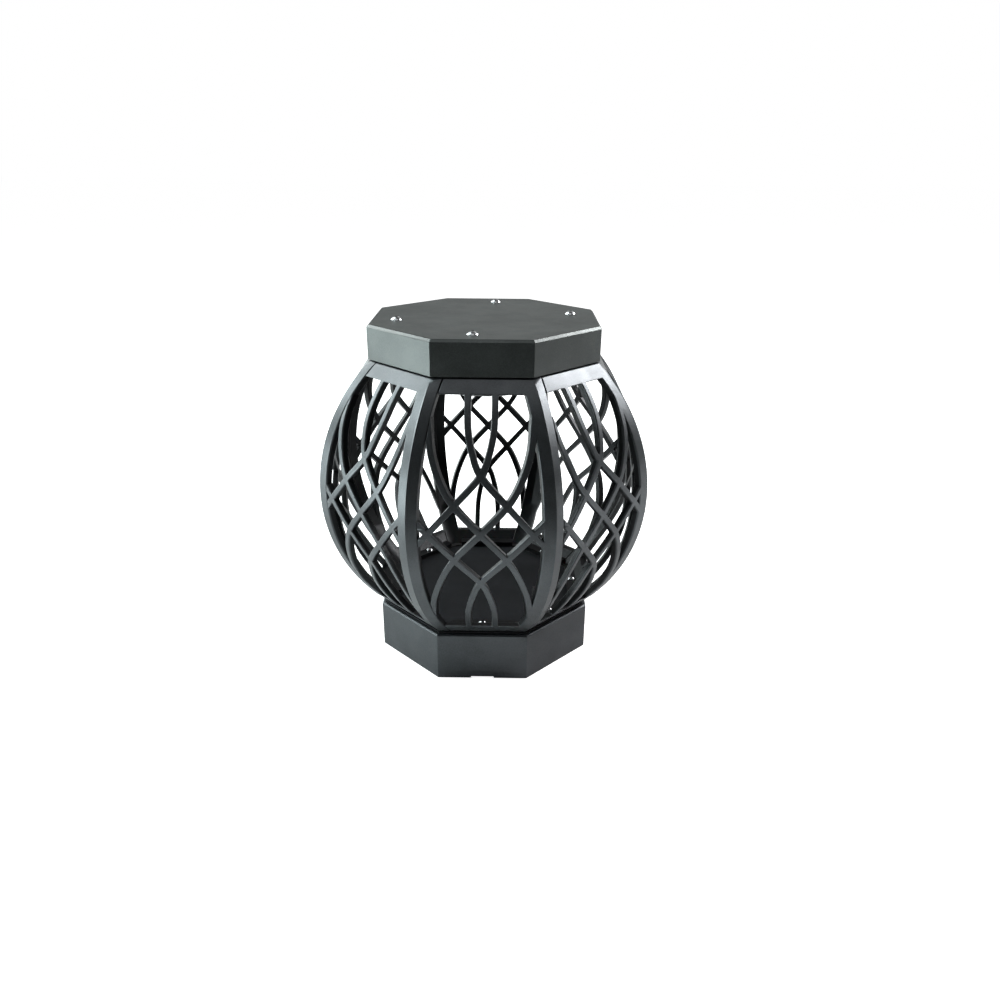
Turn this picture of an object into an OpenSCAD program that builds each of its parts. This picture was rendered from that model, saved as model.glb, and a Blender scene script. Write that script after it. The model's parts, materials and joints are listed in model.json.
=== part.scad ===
// Garden column light: an eight-sided cast lantern that stands on a pillar.
// The origin is the centre of the underside of the base, +Z is up,
// and the front face of the lantern looks along -Y.

/* [Body] */
// Width across the corner ribs at the widest point
belly_w = 300; // [280:1:320]
// Height of the lattice body, from its foot to its top rail
body_h = 224.5; // [218:0.5:234]
// Width of the body across its flats at the foot
foot_flats = 180.3; // [172:0.1:190]
// Width of the body across its flats at the top
top_flats = 187.4; // [180:0.1:196]
// Wall of the side castings
panel_t = 5; // [4:0.25:6]
// Width of a corner rib on each of its two faces, square to the rib
rib_w = 8.3; // [6:0.1:11]
// Height of the top rail
top_rail_h = 10.5; // [8:0.5:14]
// Height of the bottom rail
bottom_rail_h = 11; // [8:0.5:14]
// Gap of the butt joint between two side castings
seam_gap = 0.4; // [0.2:0.05:0.8]

/* [Lattice] */
// Width of a lattice bar
bar_w = 4.7; // [3:0.1:6]
// Distance across between neighbouring crossings of the lattice
cross_u = 20.5; // [18:0.25:22]
// Distance up between neighbouring crossings of the lattice
cross_z = 22.5; // [20:0.25:25]
// Where an inner bar meets the top rail, measured from the middle of the face
inner_u = 10.5; // [8:0.25:13]
// Where an inner bar meets the bottom rail, measured from the middle
inner_foot_u = 11.2; // [8:0.1:13]
// Where an outer bar runs into a corner rib, measured from the middle
outer_u = 40.3; // [38:0.1:42]

/* [Base] */
// How far the base stands out past the foot of the body
base_reach = 3.85; // [2:0.05:8]
// Height of the base
base_h = 43.6; // [40:0.2:52]
// Wall of the base
base_wall = 3; // [2:0.25:3.5]
// Floor of the base
base_floor_t = 4; // [3:0.5:6]
// Height of the foot of the body above the rim of the base
body_lift = 2.4; // [1:0.1:4]
// Width of the drain notch at the front of the base
notch_w = 20; // [12:1:30]
// Height of the drain notch
notch_h = 1.5; // [1:0.1:3]
// Circle of the anchor holes
anchor_pcd = 130; // [124:1:134]
// Diameter of an anchor hole
anchor_d = 9; // [7:0.5:10]
// Diameter of the hole in the base for the cable grommet
entry_d = 20; // [18:0.5:22]
// Diameter of the hole through the cable grommet
cable_d = 10; // [8:0.5:12]

/* [Floor plate] */
// Thickness of the floor plate
floor_t = 3; // [2:0.25:4]
// Thickness of the gasket on the floor plate
floor_gasket_t = 1; // [0.8:0.1:2]
// Width of the gasket inside the middle of the foot screws
floor_gasket_in = 5; // [4:0.5:6]

/* [Cap] */
// How far the cap stands out past the top of the body
cap_reach = 1.3; // [0.5:0.1:8]
// Height of the cap
cap_h = 28.5; // [26:0.5:36]
// Side wall of the cap
cap_wall = 3; // [2:0.25:4]
// Top wall of the cap
cap_top_t = 3.5; // [3:0.25:5]
// Radius of the rounded top edge of the cap
cap_edge_r = 2; // [1:0.25:2.75]
// Width of the ledge inside the foot of the cap
ledge_w = 5.5; // [4:0.25:7]
// Height of the ledge inside the foot of the cap
ledge_t = 3; // [2:0.25:4]
// Thickness of the gasket under the cap
cap_gasket_t = 1; // [0.8:0.1:1.5]
// Distance of the cap screws in from the flats of the ring
cap_screw_in = 11.2; // [10:0.1:13]
// Half the angle between two neighbouring cap screws
cap_screw_half = 35.6; // [32:0.1:40]
// Direction of the line midway between those two screws
cap_screw_turn = 48.5; // [46:0.5:51]

/* [Top ring] */
// Thickness of the ring that ties the castings together
ring_t = 6.5; // [6:0.25:8]
// Width of the ring from its flats to its opening
ring_w = 26.2; // [25:0.1:28]
// Thickness of the tabs inside the castings
tab_t = 4; // [3:0.25:5]
// Width of the tab under the ring
tab_w = 16; // [12:0.5:20]
// Width of the tab at the foot
foot_tab_w = 54; // [20:1:56]
// Gap between the ring and the castings
ring_clear = 0.4; // [0.2:0.1:0.8]

/* [Light unit] */
// Gap between the round tray and the opening of the ring
tray_gap = 2; // [1:0.1:3]
// Depth of the tray below its flange
tray_depth = 13.5; // [13:0.5:16]
// Wall of the tray
tray_wall = 2; // [1.5:0.25:2.5]
// Floor of the tray, which spreads the heat
tray_floor_t = 3; // [2.5:0.25:4]
// Width of the tray flange
tray_flange_w = 13; // [12:0.5:13.5]
// How far the clamping ring sits in from the side of the tray
clamp_in = 8.5; // [6:0.1:12]
// Width of the clamping ring
clamp_w = 7.6; // [7:0.1:9]
// Width of the flange of the diffuser
lens_flange_w = 4.8; // [4:0.1:6]
// How far the dome hangs below its flange
lens_drop = 12; // [10:0.5:14]
// Wall of the diffuser
lens_t = 2.2; // [2:0.1:2.6]
// Gap around the board inside the diffuser
board_gap = 6.8; // [6:0.1:9]
// Thickness of the board that carries the light sources
board_t = 1.6; // [1:0.1:2]
// Length of the driver
driver_l = 60; // [56:1:60]
// Width of the driver
driver_w = 44; // [38:1:46]
// Height of the driver
driver_h = 22; // [18:0.5:24]

/* [Wiring] */
// Diameter of the lead that climbs the inside of a front rib
lead_d = 5; // [4:0.25:5.5]
// Radius of the bends at the two ends of the climb
lead_bend = 20; // [18:0.5:21]
// Gap between the lead and the inside of the rib at the widest point
lead_gap = 2.5; // [2:0.1:4]
// Distance of the lead in from the inner corner of the foot
lead_foot_in = 5.6; // [5.4:0.1:7]
// Length of the junction box, measured outwards
box_l = 28; // [24:1:30]
// Width of the junction box
box_w = 56; // [50:1:60]
// Height of the junction box without its lid
box_h = 26; // [25:0.5:28]
// Wall of the junction box
box_wall = 2; // [1.5:0.25:2.5]
// Distance of the junction box from the middle
box_start = 18; // [17:0.5:20]
// Height of the terminals in the junction box
terminal_h = 16; // [14:0.5:18]
// Distance between neighbouring terminals
terminal_pitch = 9; // [8:0.5:11]
// Thickness of the foot of the junction box
box_foot_t = 3; // [2:0.5:4]
// Length of the glands outside their walls
gland_l = 7; // [5:0.5:7]
// Gap between the terminals and the walls of the box
terminal_gap = 3; // [2:0.5:4]
// Height of the gland axes above the floor of the base
gland_rise = 12; // [10:0.5:14]

/* [Fasteners] */
// Diameter of the cap screws
m5_d = 5; // [4.5:0.1:5.5]
// Diameter of the foot, ring and tray screws
m4_d = 4; // [3.5:0.1:4.4]
// Diameter of the small screws
m3_d = 3; // [2.5:0.1:3.2]
// Length of a cap screw below its head
cap_screw_l = 34; // [33:0.5:34.5]
// Length of a foot screw below its head
foot_screw_l = 20; // [16:0.5:24]
// Length of a screw of the junction box below its head
box_screw_l = 5; // [4:0.5:5]
// Clearance of a screw in its thread
thread_clear = 0.1; // [0.05:0.01:0.1]
// Clearance of a screw in a plain hole
hole_clear = 0.3; // [0.2:0.05:0.4]

/* [Hidden] */
$fn = 64;
sides = 8;

step_a = 360 / sides;
half_a = step_a / 2;
belly_a = belly_w / 2 * cos(half_a);
body_z0 = base_h + body_lift;
body_z1 = body_z0 + body_h;

// The face curve is the one circle through foot, widest point and top
foot_back = belly_a - foot_flats / 2;
top_back = belly_a - top_flats / 2;
curve_p = pow(body_h, 2) + pow(foot_back - top_back, 2);
curve_q = pow(body_h, 2) + pow(foot_back + top_back, 2);
face_r = curve_q / (2 * (foot_back + top_back) + 4 * body_h * sqrt(foot_back * top_back / curve_p));
face_axis = belly_a - face_r;
belly_z = body_z0 + sqrt(2 * face_r * foot_back - pow(foot_back, 2));

cap_z0 = body_z1 + cap_gasket_t;
cap_z1 = cap_z0 + cap_h;
base_a = foot_flats / 2 + base_reach;
base_in = base_a - base_wall;
cap_a = top_flats / 2 + cap_reach;
eps = 0.01;
snug = 0.1;

// Height of the window in a casting, measured from the widest point
win_top = body_z1 - top_rail_h - belly_z;
win_bottom = belly_z - body_z0 - bottom_rail_h;

// Distance of the outer and inner skin of a face from the axis at a height
function face_out(z) = face_axis + sqrt(pow(face_r, 2) - pow(z - belly_z, 2));
function face_in(z) = face_axis + sqrt(pow(face_r - panel_t, 2) - pow(z - belly_z, 2));

// Screw heads
m4_head_r = 0.95 * m4_d;
m4_head_h = 0.55 * m4_d;
m5_head_r = 0.95 * m5_d;
m5_head_h = 0.55 * m5_d;
m3_head_r = 0.95 * m3_d;
m3_head_h = 0.55 * m3_d;
washer_t = 0.8;
washer_r = m5_head_r + 0.5;

// Foot screws stand just inside the foot of the castings
foot_r = face_in(body_z0 + tab_t) - m4_head_r - snug;
floor_z0 = body_z0 - floor_gasket_t - floor_t;
floor_a = base_in - 0.5;
post_r = 6;
post_bore_l = foot_screw_l + 2;

// The ring rests on the upper tabs, flush with the top of the castings
ring_z0 = body_z1 - ring_t;
ring_a = face_in(body_z1) - ring_clear;
ring_bore_r = ring_a - ring_w;
ring_screw_head_h = 3;
ring_screw_head_r = 3.5;
ring_screw_r = ring_a - ring_screw_head_r - 1.7;
tab_edge = 5.2;
cap_screw_r = ring_a - cap_screw_in;
cap_sleeve_r = m5_d / 2 + 3;

// The tray hangs under the ring
tray_r = ring_bore_r - tray_gap;
tray_flange_r = tray_r + tray_flange_w;
tray_z1 = ring_z0;
tray_flange_t = 2;
tray_z0 = tray_z1 - tray_depth - tray_flange_t;
tray_in_z = tray_z0 + tray_floor_t;
tray_screw_r = (ring_bore_r + tray_flange_r) / 2;
gland_r = 5;
gland_z = tray_in_z + gland_r;

// The clamping ring holds the diffuser to the underside of the tray
clamp_out = tray_r - clamp_in;
clamp_bore_r = clamp_out - clamp_w;
clamp_screw_r = clamp_out - clamp_w / 2;
clamp_lip = 4.3;
clamp_lip_t = 1.8;
diffuser_r = clamp_bore_r - 0.3;
lens_r = diffuser_r - lens_flange_w;
board_r = lens_r - board_gap;
board_z0 = tray_z0 - board_t;
gasket_t = 0.7;
flange_t = 2.1;
diffuser_z1 = tray_z0 - gasket_t;
diffuser_z0 = diffuser_z1 - flange_t;
lens_sphere = (pow(lens_r, 2) + pow(lens_drop, 2)) / (2 * lens_drop);
clamp_z0 = diffuser_z0 - clamp_lip_t;
chip_w = 3;
chip_t = 0.7;

// Driver and terminal block on the floor of the tray
block_l = 12;
block_w = 28;
block_h = 11;
block_x = tray_r - 24;
driver_x1 = block_x - 6;
ear_w = 12;
ear_l = 8;
ear_t = 2.5;

// Route of the lead in the upright plane of the front right rib: its long arc is
// the circle that keeps the same gap to the rib at the belly and at lead_probe
lead_a = -90 + half_a;
lead_r = lead_d / 2;
lead_probe = 0.85 * (belly_z - body_z0);
function lead_off_rib(z) = face_in(z) / cos(half_a) - lead_gap - lead_r;
lead_sag = lead_off_rib(belly_z) - lead_off_rib(belly_z - lead_probe);
lead_arc = (pow(lead_probe, 2) + pow(lead_sag, 2)) / (2 * lead_sag);
lead_x0 = lead_off_rib(belly_z) - lead_arc;
lead_foot_r = face_in(body_z0) / cos(half_a) - lead_foot_in;
low_x = lead_foot_r + lead_bend;
low_z = belly_z - sqrt(pow(lead_arc + lead_bend, 2) - pow(low_x - lead_x0, 2));
low_turn = acos((low_x - lead_x0) / (lead_arc + lead_bend));
high_z = gland_z - lead_bend;
high_turn = asin((high_z - belly_z) / (lead_arc - lead_bend));
high_x = lead_x0 + (lead_arc - lead_bend) * cos(high_turn);
box_gland_z = base_floor_t + gland_rise;
box_end = box_start + box_l;
start_bend = low_z - box_gland_z;
start_x = lead_foot_r - start_bend;

module polar(n, r, z = 0, first = 0) {
  for (i = [0:n - 1])
    rotate([0, 0, first + i * 360 / n]) translate([r, 0, z]) children();
}

module cap_screw_places(z) {
  for (turn = [0, 180], side = [-1, 1])
    rotate([0, 0, cap_screw_turn + turn + side * cap_screw_half])
      translate([cap_screw_r, 0, z]) children();
}

// A regular octagon with a flat towards the front
module octagon(apothem) {
  rotate(half_a) circle(r = apothem / cos(half_a), $fn = sides);
}

// A round-headed screw with a hexagon socket, its head resting on z = 0
module button_screw(d, head_r, head_h, length) {
  dome_r = (pow(head_r, 2) + pow(head_h, 2)) / (2 * head_h);
  difference() {
    union() {
      intersection() {
        translate([0, 0, head_h - dome_r]) sphere(r = dome_r);
        cylinder(r = head_r, h = head_h);
      }
      translate([0, 0, -length]) cylinder(d = d, h = length + eps);
    }
    translate([0, 0, head_h * 0.45]) cylinder(r = 0.35 * d, h = head_h, $fn = 6);
  }
}

// A socket screw with a plain round head
module socket_screw(d, head_r, head_h, length) {
  difference() {
    union() {
      cylinder(r = head_r, h = head_h);
      translate([0, 0, -length]) cylinder(d = d, h = length + eps);
    }
    translate([0, 0, head_h * 0.45]) cylinder(r = 0.35 * d, h = head_h, $fn = 6);
  }
}

// A cable gland lying along +X: a nut on each side of a wall and a bore.
// The inner nut stands back from a wall that curves towards it.
module gland(wall, nut_r, nut_l, bore_r, back = 0) {
  difference() {
    union() {
      translate([-back, 0, 0]) rotate([0, 90, 0]) cylinder(r = nut_r * 0.72, h = wall + back);
      translate([wall, 0, 0]) rotate([0, 90, 0]) cylinder(r = nut_r, h = nut_l, $fn = 6);
      translate([-back - nut_l / 2, 0, 0]) rotate([0, 90, 0])
        cylinder(r = nut_r, h = nut_l / 2, $fn = 6);
    }
    translate([-back - nut_l, 0, 0]) rotate([0, 90, 0]) cylinder(r = bore_r, h = wall + 3 * nut_l);
  }
}

// Lattice
// A smooth line through the points of a list
function knot(p, i) = p[max(0, min(len(p) - 1, i))];
function spline(a, b, c, d, t) =
  0.5 * (2 * b + (c - a) * t + (2 * a - 5 * b + 4 * c - d) * t * t + (3 * b - a - 3 * c + d) * t * t * t);
function smooth_line(p, n) = concat(
  [for (i = [0:len(p) - 2], k = [0:n - 1])
    spline(knot(p, i - 1), knot(p, i), knot(p, i + 1), knot(p, i + 2), k / n)],
  [p[len(p) - 1]]
);
function line_normal(q, i) = let (d = knot(q, i + 1) - knot(q, i - 1)) [-d[1], d[0]] / norm(d);
function point_on(a, b, t) = a + (b - a) * t;

// An inner bar runs from a rib through two crossings up to the rail
function inner_bar(end, end_u) = [
  [3 * cross_u, -cross_z],
  [2 * cross_u, 0],
  [cross_u, cross_z],
  [0, 2 * cross_z],
  [-0.6 * end_u, point_on(2 * cross_z, end, 0.27)],
  [-0.93 * end_u, point_on(2 * cross_z, end, 0.55)],
  [-end_u, point_on(2 * cross_z, end, 0.8)],
  [-end_u, end + 2]
];
// Half of an outer bar runs from the middle crossing into a rib
function outer_bar(end) = [
  [cross_u, cross_z],
  [0.76 * outer_u, point_on(cross_z, end, 0.226)],
  [0.93 * outer_u, point_on(cross_z, end, 0.484)],
  [0.99 * outer_u, point_on(cross_z, end, 0.74)],
  [outer_u, point_on(cross_z, end, 0.87)]
];
function turned(p) = [for (q = p) -q];
function reversed(p) = [for (i = [len(p) - 1:-1:0]) p[i]];

module bar(p) {
  q = smooth_line(p, 3);
  left = [for (i = [0:len(q) - 1]) q[i] + line_normal(q, i) * bar_w / 2];
  right = [for (i = [len(q) - 1:-1:0]) q[i] - line_normal(q, i) * bar_w / 2];
  polygon(concat(left, right));
}

module bars() {
  for (side = [0, 1]) mirror([side, 0]) {
    bar(inner_bar(win_top, inner_u));
    bar(turned(inner_bar(win_bottom, inner_foot_u)));
    bar(concat(turned(reversed(outer_bar(win_bottom))), [[0, 0]], outer_bar(win_top)));
  }
}

// The openings between the bars, as seen square to the face
module lattice_gaps() {
  difference() {
    translate([-belly_a, -win_bottom]) square([2 * belly_a, win_top + win_bottom]);
    bars();
  }
}

// Round bar lying along X whose skin is the curve of the front face
module face_round(radius) {
  translate([0, -face_axis, belly_z]) rotate([0, 90, 0])
    cylinder(r = radius, h = 2 * belly_w, center = true, $fn = 180);
}

// Everything inside the skins of the front face and the face to its right
module face_pair(inset) {
  intersection() {
    face_round(face_r - inset);
    rotate([0, 0, step_a]) face_round(face_r - inset);
  }
}

// The part of the plan between two planes beside the corner rays
module plan_between(left, right) {
  reach = belly_w;
  linear_extrude(height = cap_z1) intersection() {
    rotate(-half_a) translate([-left, -reach]) square([reach, 2 * reach]);
    rotate(half_a) translate([-reach, -reach]) square([reach + right, reach]);
  }
}

module casting() {
  difference() {
    intersection() {
      face_pair(0);
      plan_between(-rib_w - seam_gap, rib_w);
      translate([-belly_w, -belly_w, body_z0]) cube([2 * belly_w, belly_w, body_h]);
    }
    face_pair(panel_t);
    intersection() {
      translate([0, 0, belly_z]) rotate([90, 0, 0])
        linear_extrude(height = belly_w) lattice_gaps();
      plan_between(-rib_w, -rib_w);
    }
  }
}

// A tab that sticks inwards from the middle of a rail
module tab(screw_r, z, width) {
  wall_a = (face_in(z + tab_t / 2) + face_out(z + tab_t / 2)) / 2;
  reach = wall_a - screw_r + tab_edge;
  translate([-width / 2, -wall_a, z]) cube([width, reach, tab_t]);
}

// Side castings
module side_panel(i) {
  color("#4b5150") rotate([0, 0, (i - 1) * step_a]) difference() {
    union() {
      casting();
      tab(foot_r, body_z0, foot_tab_w);
      tab(ring_screw_r, ring_z0 - tab_t, tab_w);
    }
    translate([0, -foot_r, body_z0 - 1]) cylinder(d = m4_d + 2 * hole_clear, h = tab_t + 2);
    translate([0, -foot_r, body_z0 + tab_t]) cylinder(r = m4_head_r + snug / 2, h = tab_t);
    translate([0, -ring_screw_r, ring_z0 - tab_t - 1])
      cylinder(d = m4_d + 2 * thread_clear, h = tab_t + 2);
  }
}

// Base
module base_shell() {
  color("#4f5755") difference() {
    linear_extrude(height = base_h) octagon(base_a);
    translate([0, 0, base_floor_t]) linear_extrude(height = base_h) octagon(base_in);
    polar(4, anchor_pcd / 2, -1, half_a * 2) cylinder(d = anchor_d, h = base_floor_t + 2);
    translate([0, 0, -1]) cylinder(d = entry_d, h = base_floor_t + 2);
    translate([-notch_w / 2, -base_a - 1, -1]) cube([notch_w, base_wall + 1, notch_h + 1]);
    rotate([0, 0, lead_a]) for (side = [-1, 1])
      translate([(box_start + box_end) / 2, side * box_screw_y, base_floor_t - 2.5])
        cylinder(d = m3_d + 2 * thread_clear, h = 5);
    translate([-stud_x, 0, base_floor_t - 3]) cylinder(d = m5_d + 2 * thread_clear, h = 5);
  }
}

// Hexagonal posts that carry the floor plate and take the foot screws
module foot_posts() {
  color("#9a9d9e") polar(sides, foot_r, base_floor_t) difference() {
    cylinder(r = post_r, h = floor_z0 - base_floor_t, $fn = 6);
    translate([0, 0, floor_z0 - base_floor_t - post_bore_l])
      cylinder(d = m4_d + 2 * thread_clear, h = post_bore_l + 1);
  }
}

box_screw_y = box_w / 2 + 4;
stud_x = 45;
stud_h = 20;
grommet_lip = 2;

module base_grommet() {
  color("#151515") difference() {
    union() {
      translate([0, 0, 0.5]) cylinder(d = entry_d - snug, h = base_floor_t);
      translate([0, 0, base_floor_t]) cylinder(d = entry_d + 2 * grommet_lip, h = grommet_lip);
    }
    translate([0, 0, -1]) cylinder(d = cable_d, h = base_floor_t + 5);
  }
}

module earth_stud() {
  color("#b08d3c") translate([-stud_x, 0, base_floor_t - 3]) cylinder(d = m5_d, h = stud_h);
}

module earth_nuts() {
  nut_h = 0.8 * m5_d;
  color("#b08d3c") for (k = [0, 1])
    translate([-stud_x, 0, base_floor_t + k * (nut_h + 1)]) difference() {
      cylinder(r = m5_d * 0.92, h = nut_h, $fn = 6);
      translate([0, 0, -1]) cylinder(d = m5_d + 2 * thread_clear, h = nut_h + 2);
    }
}

module junction_box() {
  color("#8d9090") rotate([0, 0, lead_a]) difference() {
    union() {
      translate([box_start, -box_w / 2, base_floor_t]) cube([box_l, box_w, box_h]);
      translate([(box_start + box_end) / 2 - 5, -box_screw_y - 4, base_floor_t])
        cube([10, 2 * box_screw_y + 8, box_foot_t]);
    }
    translate([box_start + box_wall, -box_w / 2 + box_wall, base_floor_t + box_wall])
      cube([box_l - 2 * box_wall, box_w - 2 * box_wall, box_h]);
    translate([box_end - box_wall - 1, 0, box_gland_z]) rotate([0, 90, 0])
      cylinder(r = gland_r * 0.72 + snug, h = box_wall + 2);
    translate([(box_start + box_end) / 2, box_w / 2 + 1, box_gland_z]) rotate([90, 0, 0])
      cylinder(r = inlet_r * 0.72 + snug, h = box_wall + 2);
    for (side = [-1, 1])
      translate([(box_start + box_end) / 2, side * box_screw_y, base_floor_t - 1])
        cylinder(d = m3_d + 2 * hole_clear, h = 5);
  }
}

inlet_r = 7;

module junction_lid() {
  color("#7d8080") rotate([0, 0, lead_a]) {
    translate([box_start, -box_w / 2, base_floor_t + box_h]) cube([box_l, box_w, box_wall]);
    translate([box_start + box_wall + snug, -box_w / 2 + box_wall + snug, base_floor_t + box_h - 1.5])
      cube([box_l - 2 * box_wall - 2 * snug, box_w - 2 * box_wall - 2 * snug, 1.5]);
  }
}

terminal_w = 34;
terminal_x = box_start + box_wall + terminal_gap;
terminal_l = box_l - 2 * box_wall - 2 * terminal_gap - gland_r / 2;

module junction_terminals() {
  color("#d8d6cc") rotate([0, 0, lead_a]) difference() {
    translate([terminal_x, -terminal_w / 2, base_floor_t + box_wall])
      cube([terminal_l, terminal_w, terminal_h]);
    for (k = [-1:1])
      translate([terminal_x + terminal_l / 2, k * terminal_pitch, base_floor_t + box_wall + terminal_h / 2])
        cylinder(r = 2.2, h = terminal_h);
  }
}

module junction_screws() {
  color("#b9bcbd") rotate([0, 0, lead_a]) for (side = [-1, 1])
    translate([(box_start + box_end) / 2, side * box_screw_y, base_floor_t + box_foot_t])
      button_screw(m3_d, m3_head_r, m3_head_h, box_screw_l);
}

module inlet_gland() {
  color("#202020") rotate([0, 0, lead_a])
    translate([(box_start + box_end) / 2, box_w / 2 - box_wall, box_gland_z]) rotate([0, 0, 90])
      gland(box_wall, inlet_r, gland_l, cable_d / 2 - 1.5);
}

module outlet_gland() {
  color("#202020") rotate([0, 0, lead_a]) translate([box_end - box_wall, 0, box_gland_z])
    gland(box_wall, gland_r, gland_l, lead_r + snug);
}

// Floor of the lantern
module floor_plate() {
  color("#1b1c1c") difference() {
    translate([0, 0, floor_z0]) linear_extrude(height = floor_t) octagon(floor_a);
    polar(sides, foot_r, floor_z0 - 1) cylinder(d = m4_d + 2 * hole_clear, h = floor_t + 2);
    rotate([0, 0, lead_a]) translate([lead_foot_r, 0, floor_z0 - 1])
      cylinder(r = lead_hole_r, h = floor_t + 2);
  }
}

lead_hole_r = lead_r + 3;

module floor_gasket() {
  outer = foot_flats / 2 - 1;
  color("#0e0e0e") difference() {
    translate([0, 0, body_z0 - floor_gasket_t]) linear_extrude(height = floor_gasket_t)
      difference() {
        octagon(outer);
        octagon(foot_r - floor_gasket_in);
      }
    polar(sides, foot_r, floor_z0) cylinder(r = m4_d / 2 + 1, h = floor_t + 2);
    rotate([0, 0, lead_a]) translate([lead_foot_r, 0, floor_z0]) cylinder(r = lead_hole_r, h = floor_t + 2);
  }
}

// The lead leans outwards where it passes the floor plate
floor_mid = floor_z0 + floor_t / 2;
floor_lean = asin((floor_mid - low_z) / lead_bend);

module floor_grommet() {
  color("#151515") rotate([0, 0, lead_a]) difference() {
    translate([lead_foot_r, 0, floor_z0]) {
      cylinder(r = lead_hole_r - snug, h = floor_t);
      translate([0, 0, -2]) cylinder(r = lead_hole_r + 1.5, h = 2);
    }
    translate([low_x - lead_bend * cos(floor_lean), 0, floor_mid]) rotate([0, floor_lean, 0])
      cylinder(r = lead_r + 0.5, h = 6 * floor_t, center = true);
  }
}

module foot_screws() {
  color("#c9cccd") polar(sides, foot_r, body_z0 + tab_t)
    button_screw(m4_d, m4_head_r, m4_head_h, foot_screw_l);
}

// Top ring
module top_ring() {
  color("#3c403f") difference() {
    translate([0, 0, ring_z0]) linear_extrude(height = ring_t) difference() {
      octagon(ring_a);
      circle(r = ring_bore_r);
    }
    polar(sides, ring_screw_r, ring_z0 - 1) cylinder(d = m4_d + 2 * hole_clear, h = ring_t + 2);
    polar(sides, ring_screw_r, body_z1 - ring_screw_head_h - 0.2)
      cylinder(r = ring_screw_head_r + hole_clear, h = ring_t);
    cap_screw_places(ring_z0 - 1) cylinder(d = m5_d + 2 * thread_clear, h = ring_t + 2);
    polar(4, tray_screw_r, ring_z0 - 1, cap_screw_turn) cylinder(d = m4_d + 2 * thread_clear, h = ring_t + 2);
  }
}

module ring_screws() {
  color("#c9cccd") polar(sides, ring_screw_r, body_z1 - ring_screw_head_h - 0.2)
    socket_screw(m4_d, ring_screw_head_r, ring_screw_head_h, ring_t + tab_t - ring_screw_head_h - 0.7);
}

// Light unit
module gear_tray() {
  color("#a9adae") difference() {
    union() {
      translate([0, 0, tray_z0]) cylinder(r = tray_r, h = tray_z1 - tray_z0);
      translate([0, 0, tray_z1 - tray_flange_t]) cylinder(r = tray_flange_r, h = tray_flange_t);
    }
    translate([0, 0, tray_in_z]) cylinder(r = tray_r - tray_wall, h = tray_depth);
    polar(4, tray_screw_r, tray_z1 - tray_flange_t - 1, cap_screw_turn)
      cylinder(d = m4_d + 2 * hole_clear, h = tray_flange_t + 2);
    polar(4, clamp_screw_r, tray_z0 - 1, cap_screw_turn) cylinder(d = m3_d + 2 * thread_clear, h = 3.4);
    polar(3, board_screw_r, tray_z0 - 1, lead_a + 60) cylinder(d = m3_d + 2 * thread_clear, h = 3);
    rotate([0, 0, lead_a]) {
      translate([tray_r - tray_wall - 1, 0, gland_z]) rotate([0, 90, 0])
        cylinder(r = gland_r * 0.72 + snug, h = tray_wall + 2);
      for (side = [-1, 1]) {
        translate([driver_x1 - driver_l / 2, side * ear_y, tray_in_z - 2])
          cylinder(d = m3_d + 2 * thread_clear, h = 4);
        translate([wire_x, side * 4, tray_z0 - 1]) cylinder(r = 1.1, h = tray_floor_t + 2);
      }
    }
  }
}

ear_y = driver_w / 2 + ear_l / 2;
tray_nut_back = 0.4;
board_screw_r = board_r - 4;
wire_x = 10;

module tray_screws() {
  color("#c9cccd") polar(4, tray_screw_r, tray_z1 - tray_flange_t, cap_screw_turn)
    rotate([180, 0, 0]) button_screw(m4_d, m4_head_r, m4_head_h, ring_t);
}

module tray_gland() {
  color("#202020") rotate([0, 0, lead_a]) translate([tray_r - tray_wall, 0, gland_z])
    gland(tray_wall, gland_r, gland_l, lead_r + snug, tray_nut_back);
}

module terminal_block() {
  color("#d8d6cc") rotate([0, 0, lead_a]) difference() {
    translate([block_x, -block_w / 2, tray_in_z]) cube([block_l, block_w, block_h]);
    for (k = [-1:1])
      translate([block_x + block_l / 2, k * 8, tray_in_z + block_h - 2]) cylinder(r = 2, h = 4);
  }
}

module driver() {
  color("#e4e4e0") rotate([0, 0, lead_a]) difference() {
    union() {
      translate([driver_x1 - driver_l, -driver_w / 2, tray_in_z]) cube([driver_l, driver_w, driver_h]);
      translate([driver_x1 - driver_l / 2 - ear_w / 2, -driver_w / 2 - ear_l, tray_in_z])
        cube([ear_w, driver_w + 2 * ear_l, ear_t]);
    }
    for (side = [-1, 1])
      translate([driver_x1 - driver_l / 2, side * ear_y, tray_in_z - 1])
        cylinder(d = m3_d + 2 * hole_clear, h = ear_t + 2);
  }
}

module driver_screws() {
  color("#b9bcbd") rotate([0, 0, lead_a]) for (side = [-1, 1])
    translate([driver_x1 - driver_l / 2, side * ear_y, tray_in_z + ear_t])
      button_screw(m3_d, m3_head_r, m3_head_h, ear_t + 1.8);
}

module link_wires() {
  color("#3a6ea5") rotate([0, 0, lead_a]) for (k = [-1:1])
    translate([driver_x1, k * 6, tray_in_z + 4]) rotate([0, 90, 0])
      cylinder(r = 0.9, h = block_x - driver_x1, $fn = 24);
}

module led_wires() {
  color("#b03a2e") rotate([0, 0, lead_a]) for (side = [-1, 1])
    translate([wire_x, side * 4, tray_z0]) cylinder(r = 0.8, h = tray_floor_t, $fn = 24);
}

module led_board() {
  color("#f2f2ee") difference() {
    translate([0, 0, board_z0]) cylinder(r = board_r, h = board_t);
    polar(3, board_screw_r, board_z0 - 1, lead_a + 60) cylinder(d = m3_d + 2 * hole_clear, h = board_t + 2);
  }
}

module led_chips() {
  color("#f3d56b") for (row = [[8, 0.34], [16, 0.66]])
    polar(row[0], board_r * row[1], board_z0 - chip_t, 11.25)
      translate([-chip_w / 2, -chip_w / 2, 0]) cube([chip_w, chip_w, chip_t]);
}

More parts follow.
